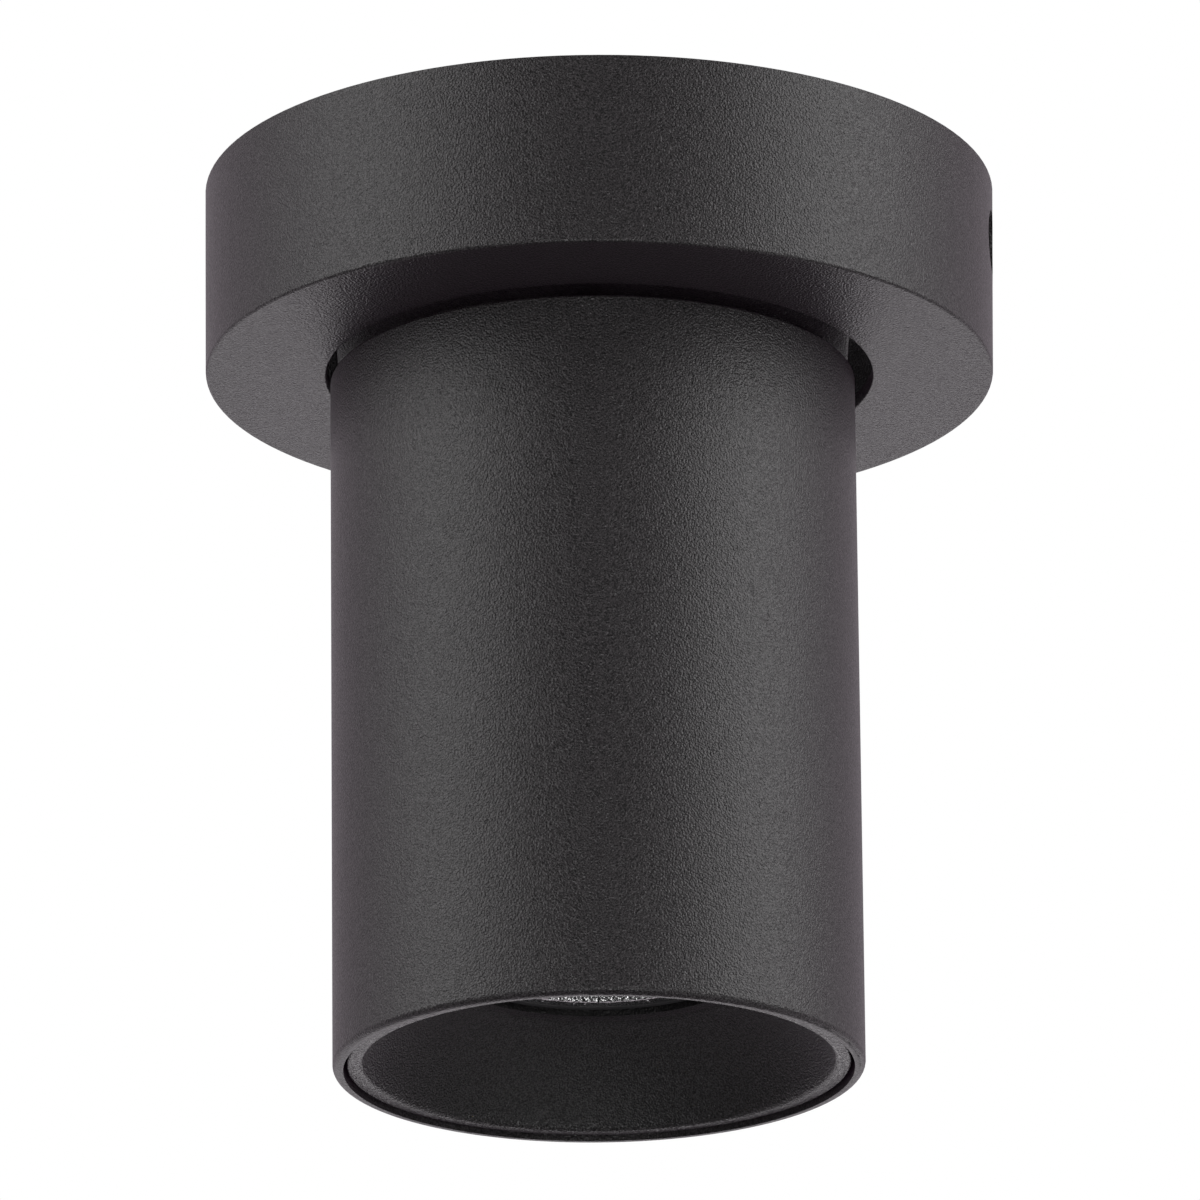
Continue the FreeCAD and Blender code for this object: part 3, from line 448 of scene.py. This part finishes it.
def sleeved_can(radius, height, x, y):
    """A can: radius along the height z, drawn in at the crimp by
    depth * exp(-((z - crimp) / width) ** 2), with a sleeve rolled over its top."""
    turn = np.linspace(0.0, 2 * math.pi, 48, endpoint=False)
    top = [height - 0.0001, height - 0.0001, height - 0.0004, height - 0.0004]
    z = np.concatenate([[0.0, 0.0], np.linspace(0.0002, height - 0.0006, 40), top])
    r = radius - can_crimp * np.exp(-((z - crimp_from_board) / crimp_width) ** 2)
    r[[0, -1]] = 0.0
    r[[1, -4, -3, -2]] = radius - 0.0002, radius - 0.0001, radius - 0.0005, radius - 0.0007
    level = np.broadcast_to(z, (turn.size, z.size))
    across, along = r * np.cos(turn)[:, None], r * np.sin(turn)[:, None]
    return np.stack([x + across, y + along, board_top + level], axis=-1)


def wound_ring(outer, inner, height, x, y, turns):
    """A ring whose section is a round-cornered oblong; the wire stands
    bulge * |cos(turns u / 2)| proud of the lowest point between two turns."""
    u = np.linspace(0.0, 2 * math.pi, turns * 12, endpoint=False)
    v = np.linspace(0.0, 2 * math.pi, 24, endpoint=False)
    wire = wire_bulge * np.abs(np.cos(turns * u / 2))[:, None] - wire_bulge
    across = np.sign(np.cos(v)) * np.abs(np.cos(v)) ** wound_square
    upward = np.sign(np.sin(v)) * np.abs(np.sin(v)) ** wound_square
    r = (outer + inner) / 2 + ((outer - inner) / 2 + wire) * across
    z = board_top + height / 2 + (height / 2 + wire) * upward
    return np.stack([x + r * np.cos(u)[:, None], y + r * np.sin(u)[:, None], z], axis=-1)


ferrite = moulded_plastic("ferrite", (0.045, 0.044, 0.046), 0.55, 1500.0)
winding_tape = moulded_plastic("winding_tape", (0.62, 0.46, 0.06), 0.32, 900.0)
sleeve = moulded_plastic("capacitor_sleeve", (0.030, 0.032, 0.060), 0.30, 1200.0)
copper_wire = moulded_plastic("enamelled_copper", (0.44, 0.14, 0.045), 0.26, 1600.0)
core_top, winding_low, winding_top = -0.0333, board_top + 0.0006, -0.0345
blocks = (
    ("transformer_core_left", (-0.0130, -0.0085, board_top), (-0.0098, 0.0045, core_top),
     0.0004, ferrite),
    ("transformer_core_right", (-0.0022, -0.0085, board_top), (0.0010, 0.0045, core_top),
     0.0004, ferrite),
    ("transformer_winding", (-0.0100, -0.0078, winding_low), (-0.0020, 0.0038, winding_top),
     0.0012, winding_tape),
)
for name, low, high, edge, material in blocks:
    fit_driver_part(name, soft_block(low, high, edge), material)
fit_driver_part("capacitor_large", sleeved_can(0.0038, 0.0120, 0.0090, 0.0015), sleeve)
fit_driver_part("capacitor_small", sleeved_can(0.0031, 0.0100, 0.0055, -0.0090), sleeve)
coil = wound_ring(0.0042, 0.0016, 0.0050, -0.0085, 0.0105, 26)
fit_driver_part("wound_coil", coil, copper_wire, poles=False)
case = soft_block((0.0105, -0.0085, board_top), (0.0160, -0.0045, board_top + 0.0030), 0.0003)
fit_driver_part("rectifier", case, black_plastic)


# ---- Heat sink -----------------------------------------------------------------------------------
# Bare turned aluminium, with fifteen upright fins standing round its middle. It hangs on the
# posts, below the driver.

def turned_aluminium():
    """Bare aluminium with the fine concentric marks of a lathe round the tube's axis."""
    alloy = new_finish("turned_aluminium", metallic=1.0)
    tree = alloy.node_tree
    place = tree.nodes.new("ShaderNodeTexCoord")
    marks = tree.nodes.new("ShaderNodeTexWave")
    marks.wave_type = "RINGS"
    marks.rings_direction = "Z"
    marks.inputs["Scale"].default_value = 900.0
    marks.inputs["Distortion"].default_value = 0.4
    tree.links.new(place.outputs["Object"], marks.inputs["Vector"])
    clouds = add_grain(alloy, 240.0, 3.0)
    vary_colour(alloy, clouds, (0.70, 0.70, 0.71), (0.82, 0.82, 0.83))
    vary_gloss(alloy, clouds, 0.28, 0.4)
    raise_grain(alloy, marks.outputs["Fac"], 0.000006)
    return alloy


coat_node("heat_sink", turned_aluminium())


# ---- Light source: board, phosphor, holder ---------------------------------------------------
# Square white ceramic board with a round yellow phosphor under clear silicone, inside a low
# round dam. A plastic holder presses it on the heat sink with two screws.

ceramic = moulded_plastic("white_ceramic", (0.80, 0.80, 0.78), 0.28, 3200.0)
coat_node("led_board", ceramic)
emitter_r, emitter_top, dam_r = 0.0060, -0.0770, 0.0056
dam_round, dome_low, dome_rise = 0.0003, 0.00035, 0.00012


def revolve(name, profile, around, material, wobble=None, poles=False):
    """A profile carried round the axis: each of its points (r, z) at every one of the angles.
    wobble(r, z, a) moves the radius. The profile closes on itself, or with poles starts and
    ends on the axis."""
    turn = np.linspace(0.0, 2 * math.pi, around, endpoint=False)
    r = np.broadcast_to(profile[:, 0], (around, len(profile)))
    z = np.broadcast_to(profile[:, 1], (around, len(profile)))
    a = np.broadcast_to(turn[:, None], r.shape)
    if wobble is not None:
        r = r + wobble(r, z, a)
    points = np.stack([r * np.cos(a), r * np.sin(a), z], axis=-1)
    return closed_sheet(name, hang(points), material, poles)


def phosphor_dome():
    """Dome: below the board's face by low + rise * cos(pi r / 2 dam); the dam is a half
    round rim."""
    r = np.linspace(0.0, dam_r - 0.0002, 14)
    fall = dome_low + dome_rise * np.cos(0.5 * math.pi * r / dam_r)
    dome = np.stack([r, emitter_top - fall], axis=-1)
    bead = np.linspace(math.pi, 0.0, 9)
    rim = np.stack([emitter_r - dam_round + dam_round * np.cos(bead),
                    emitter_top - dam_round - dam_round * np.sin(bead)], axis=-1)
    back = np.array([(emitter_r, emitter_top), (0.0, emitter_top)])
    return np.concatenate([dome, rim, back])


def phosphor():
    """Yellow phosphor grains in clear silicone: grainy colour under a smooth, glossy skin."""
    gel = new_finish("phosphor_gel")
    grains = add_grain(gel, 5200.0, 2.0)
    vary_colour(gel, grains, (0.76, 0.50, 0.06), (0.90, 0.68, 0.14))
    vary_gloss(gel, grains, 0.18, 0.26)
    raise_grain(gel, grains, 0.000006)
    return gel


emitter = revolve("phosphor_dome", phosphor_dome(), 64, phosphor(), poles=True)
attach(emitter, "head")
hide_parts("led_emitter")
eased_copy("led_holder", "head", white_plastic, 0.00025)
coat_node("holder_screws", bright_zinc)


# ---- Reflector and its grey ring ---------------------------------------------------------------
# Spun aluminium bowl, bright silvered, with small facets that soften the beam, and a rolled
# flange whose inner edge is rippled by the spinning. A grey moulded ring centres it in the
# baffle's throat.

reflector_front, reflector_high = -0.1000, 0.0204
mouth_r, flange_r, seat_r, small_r, wall = 0.0152, 0.0169, 0.0143, 0.0080, 0.0009
facets, facet_rows, facet_depth = 44, 13, 0.00014
seat_up, bore_taper, roll_r, bowl_power = 0.0018, 0.0004, 0.0003, 0.62
inner_rows, outer_rows, roll_rows, bore_rows = 80, 24, 7, 12
ripple_depth, ripple_rise, ripples = 0.00008, 0.0006, (61, 97)


def silver():
    """Silvered aluminium: bright, with a faint crinkle left by the polish."""
    bright = new_finish("silvered_aluminium", metallic=1.0)
    crinkle = add_grain(bright, 1500.0, 2.0)
    vary_colour(bright, crinkle, (0.84, 0.84, 0.84), (0.95, 0.95, 0.95))
    vary_gloss(bright, crinkle, 0.20, 0.32)
    raise_grain(bright, crinkle, 0.00004)
    return bright


def bowl_profile():
    """Inside: r = small + (seat - small) * (1 - t) ** power over the height t, from the seat
    to the small end; outside the same one wall further out; then the flange in front, its
    rolled edge and the tapering bore up to the seat."""
    front = reflector_front
    seat_z = front + seat_up
    t = np.linspace(0.0, 1.0, inner_rows)
    inner = np.stack([small_r + (seat_r - small_r) * (1 - t) ** bowl_power,
                      seat_z + t * (front + reflector_high - seat_z)], axis=-1)
    t = np.linspace(1.0, 0.0, outer_rows)
    outer = np.stack([small_r + wall + (mouth_r - roll_r - small_r) * (1 - t) ** bowl_power,
                      front + 0.0022 + t * (reflector_high - 0.0022)], axis=-1)
    flange = np.array([(flange_r - 0.0001, front + 0.0010), (flange_r, front + 0.0009),
                       (flange_r, front + 0.0001), (flange_r - 0.0001, front),
                       (mouth_r + roll_r, front)])
    roll = np.linspace(0.0, 0.5 * math.pi, roll_rows)
    lip = np.stack([mouth_r + roll_r - roll_r * np.sin(roll),
                    front + roll_r - roll_r * np.cos(roll)], axis=-1)
    rise = np.linspace(front + 0.0004, seat_z - 0.0001, bore_rows)
    bore = np.stack([mouth_r - bore_taper * (rise - front) / seat_up, rise], axis=-1)
    return np.concatenate([inner, outer, flange, lip, bore])


def facet_relief(r, z, a):
    """Facets: depth * |sin(facets a / 2 + row parity)| * |sin(pi rows t)|, on the inside of
    the bowl. Ripple: two sine waves round the rolled edge and the bore, each of which also
    climbs with the height."""
    count = r.shape[1]
    k = np.arange(count)
    inside = (k > 1) & (k < inner_rows - 2)
    t = np.where(inside, (k - 1) / (inner_rows - 2), 0.0)
    row = np.floor(t * facet_rows)
    across = np.abs(np.sin(0.5 * facets * a + 0.5 * math.pi * (row % 2)))
    along = np.abs(np.sin(math.pi * facet_rows * t))
    few, many = ripples
    ripple = ripple_depth * (np.sin(few * a + 4.0 * z / ripple_rise)
                             + np.sin(many * a - 2.0 * z / ripple_rise))
    edge = k >= count - roll_rows - bore_rows
    return facet_depth * across * along * inside + ripple * edge


bright_silver = silver()
bowl = revolve("faceted_reflector", bowl_profile(), 12 * facets, bright_silver, facet_relief)
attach(bowl, "head")
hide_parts("reflector")
grey_plastic = moulded_plastic("grey_plastic", (0.060, 0.060, 0.062), 0.40, 2600.0)
eased_copy("reflector_ring", "head", grey_plastic, 0.00015)


# ---- Front glass -------------------------------------------------------------------------------
# Clear float glass disc, dropped in the reflector's mouth, that keeps the dust out.

def float_glass():
    """Clear glass, with the slight unevenness of a wiped pane in its gloss."""
    glass = new_finish("float_glass")
    shader = glass.node_tree.nodes["Principled BSDF"]
    shader.inputs["Transmission Weight"].default_value = 1.0
    shader.inputs["IOR"].default_value = 1.5
    wipes = add_grain(glass, 90.0, 3.0)
    vary_colour(glass, wipes, (0.95, 0.965, 0.96), (0.98, 0.985, 0.98))
    vary_gloss(glass, wipes, 0.0, 0.02)
    raise_grain(glass, wipes, 0.000002)
    return glass


eased_copy("front_glass", "head", float_glass(), 0.0001)


# ---- Baffle and its clips ------------------------------------------------------------------------
# Black moulded anti-glare bowl, grained like the coat: a glossier flat lip, a hollow cone
# and a short throat, its colour darkened there as painted shade deep in the bowl. Three
# spring steel leaves inside its skirt hold it in the tube.

def graded_by_height(material, socket, low, high, at_low, at_high):
    """Multiplies what reaches a socket of the shader by at_low below the height low and by
    at_high above the height high."""
    tree = material.node_tree
    target = tree.nodes["Principled BSDF"].inputs[socket]
    source = target.links[0].from_socket
    place = tree.nodes.new("ShaderNodeTexCoord")
    split = tree.nodes.new("ShaderNodeSeparateXYZ")
    grade = tree.nodes.new("ShaderNodeMapRange")
    grade.inputs["From Min"].default_value = low
    grade.inputs["From Max"].default_value = high
    grade.inputs["To Min"].default_value = at_low
    grade.inputs["To Max"].default_value = at_high
    scale = tree.nodes.new("ShaderNodeVectorMath")
    scale.operation = "SCALE"
    tree.links.new(place.outputs["Object"], split.inputs["Vector"])
    tree.links.new(split.outputs["Z"], grade.inputs["Value"])
    tree.links.new(source, scale.inputs[0])
    tree.links.new(grade.outputs["Result"], scale.inputs["Scale"])
    tree.links.new(scale.outputs["Vector"], target)


lip_low, lip_high, throat_low, throat_high = -0.1126, -0.1112, -0.1018, -0.1009
baffle_coat = powder_coat("baffle_coat", (0.038, 0.036, 0.037), 0.50, 0.00015)
graded_by_height(baffle_coat, "Roughness", lip_low, lip_high, 0.45, 1.0)
# Painted shade: above throat_high the base colour is cut to 0.3, darkening the deep throat.
graded_by_height(baffle_coat, "Base Color", throat_low, throat_high, 1.0, 0.3)
coat_node("baffle", baffle_coat)


def spring_steel():
    """Tempered spring steel: grey, with straw and blue tints in bands."""
    spring = new_finish("tempered_steel", metallic=1.0)
    tint = add_grain(spring, 420.0, 2.0, (1.0, 1.0, 5.0))
    vary_colour(spring, tint, (0.36, 0.37, 0.41), (0.50, 0.47, 0.42))
    vary_gloss(spring, tint, 0.26, 0.38)
    raise_grain(spring, tint, 0.000004)
    return spring


coat_node("baffle_clips", spring_steel())


# ---- Studio -----------------------------------------------------------------------------
# A background that the camera sees white and that lights the lamp only from behind, and a
# pale floor 2.4 m below. Three tall soft boxes stand at each side. Fills stand low in front,
# low at both sides for the inside of the bowl, and low behind, and a box hangs above.

floor_level = (0, 0, -2.4)
bpy.ops.mesh.primitive_circle_add(vertices=96, radius=9.0, fill_type="NGON", location=floor_level)
floor = bpy.context.object
floor.name = "floor"
floor.visible_diffuse = False
floor.visible_glossy = False
paint = bpy.data.materials.new("pale_floor")
paint.use_nodes = True
shade = paint.node_tree.nodes["Principled BSDF"].inputs
shade["Base Color"].default_value = (0.80, 0.80, 0.80, 1)
shade["Roughness"].default_value = 0.8
shade["Emission Strength"].default_value = 1.0
shade["Emission Color"].default_value = (0.50, 0.50, 0.50, 1)
floor.data.materials.append(paint)

world = bpy.data.worlds.new("studio")
bpy.context.scene.world = world
world.use_nodes = True
sky = world.node_tree
sky.nodes.clear()
direction = sky.nodes.new("ShaderNodeTexCoord")
split = sky.nodes.new("ShaderNodeSeparateXYZ")
sky.links.new(direction.outputs["Generated"], split.inputs["Vector"])
behind = sky.nodes.new("ShaderNodeMapRange")
behind.interpolation_type = "SMOOTHSTEP"
behind.inputs["From Min"].default_value = -0.15
behind.inputs["From Max"].default_value = 0.55
behind.inputs["To Min"].default_value = 0.0
behind.inputs["To Max"].default_value = 0.435
sky.links.new(split.outputs["Y"], behind.inputs["Value"])
seen = sky.nodes.new("ShaderNodeLightPath")
either = sky.nodes.new("ShaderNodeMath")
either.operation = "MAXIMUM"
sky.links.new(seen.outputs["Is Camera Ray"], either.inputs[0])
sky.links.new(seen.outputs["Is Transmission Ray"], either.inputs[1])
level = sky.nodes.new("ShaderNodeMath")
level.operation = "MAXIMUM"
sky.links.new(either.outputs[0], level.inputs[0])
sky.links.new(behind.outputs["Result"], level.inputs[1])
light = sky.nodes.new("ShaderNodeBackground")
tint = sky.nodes.new("ShaderNodeMix")
tint.data_type = "RGBA"
tint.inputs["A"].default_value = (1.0, 0.91, 0.98, 1.0)
tint.inputs["B"].default_value = (1.0, 1.0, 1.0, 1.0)
sky.links.new(either.outputs[0], tint.inputs["Factor"])
sky.links.new(tint.outputs["Result"], light.inputs["Color"])
sky.links.new(level.outputs[0], light.inputs["Strength"])
out = sky.nodes.new("ShaderNodeOutputWorld")
sky.links.new(light.outputs["Background"], out.inputs["Surface"])


lamp_middle = np.array((0.0, 0.0, -0.06))


def soft_box(name, azimuth, reach, height, wide, tall, watts):
    """A soft box that faces the lamp: azimuth in degrees from the camera, sizes in metres."""
    data = bpy.data.lights.new(name, "AREA")
    data.shape = "RECTANGLE"
    data.size = wide
    data.size_y = tall
    data.energy = watts
    box = bpy.data.objects.new(name, data)
    box.visible_camera = False
    bpy.context.scene.collection.objects.link(box)
    turn = math.radians(azimuth)
    place = np.array((reach * math.sin(turn), -reach * math.cos(turn), height))
    back = place - lamp_middle
    back /= np.linalg.norm(back)
    side = np.cross((0, 0, 1), back)
    side /= np.linalg.norm(side)
    up = np.cross(back, side)
    stand = Matrix.Identity(4)
    for k in range(3):
        stand[k][0], stand[k][1], stand[k][2], stand[k][3] = side[k], up[k], back[k], place[k]
    box.matrix_world = stand


for side, sign, powers in (("left", -1, (2.5, 3.7, 3.1)), ("right", 1, (1.8, 4.4, 4.5))):
    for k, watts in enumerate(powers):
        soft_box(f"{side}_box_{k}", sign * (42 + 23 * k), 1.25, 0.4, 0.45, 1.2, watts)
soft_box("front_fill", 0, 2.2, -0.85, 1.0, 0.8, 10.4)
soft_box("bowl_fill_right", 60, 1.2, -1.1, 0.5, 0.5, 2.0)
soft_box("bowl_fill_left", -60, 1.2, -1.1, 0.5, 0.5, 0.4)
soft_box("rear_fill", 180, 1.7, -0.65, 2.6, 0.9, 5.1)
soft_box("top_box", 180, 0.02, 1.7, 1.2, 1.2, 3.2)

# The camera stands 1.6 m off, below the lamp, and looks up by 18.7 degrees.
pitch, roll = 0.32644, -0.00261
ahead = np.array((0.0, math.cos(pitch), math.sin(pitch)))
level_up = np.array((0.0, -math.sin(pitch), math.cos(pitch)))
level_right = np.array((1.0, 0.0, 0.0))
right = math.cos(roll) * level_right + math.sin(roll) * level_up
up = -math.sin(roll) * level_right + math.cos(roll) * level_up
camera = bpy.data.objects.new("camera", bpy.data.cameras.new("camera"))
camera.data.sensor_fit = "HORIZONTAL"
camera.data.sensor_width = 36.0
camera.data.lens = 394.08
stand = (0.00084, -1.53391, -0.57240)
pose = Matrix.Identity(4)
for k in range(3):
    pose[k][0], pose[k][1], pose[k][2], pose[k][3] = right[k], up[k], -ahead[k], stand[k]
camera.matrix_world = pose
camera.data.clip_end = 30.0
bpy.context.scene.collection.objects.link(camera)
bpy.context.scene.camera = camera
bpy.context.scene.view_settings.view_transform = "Standard"
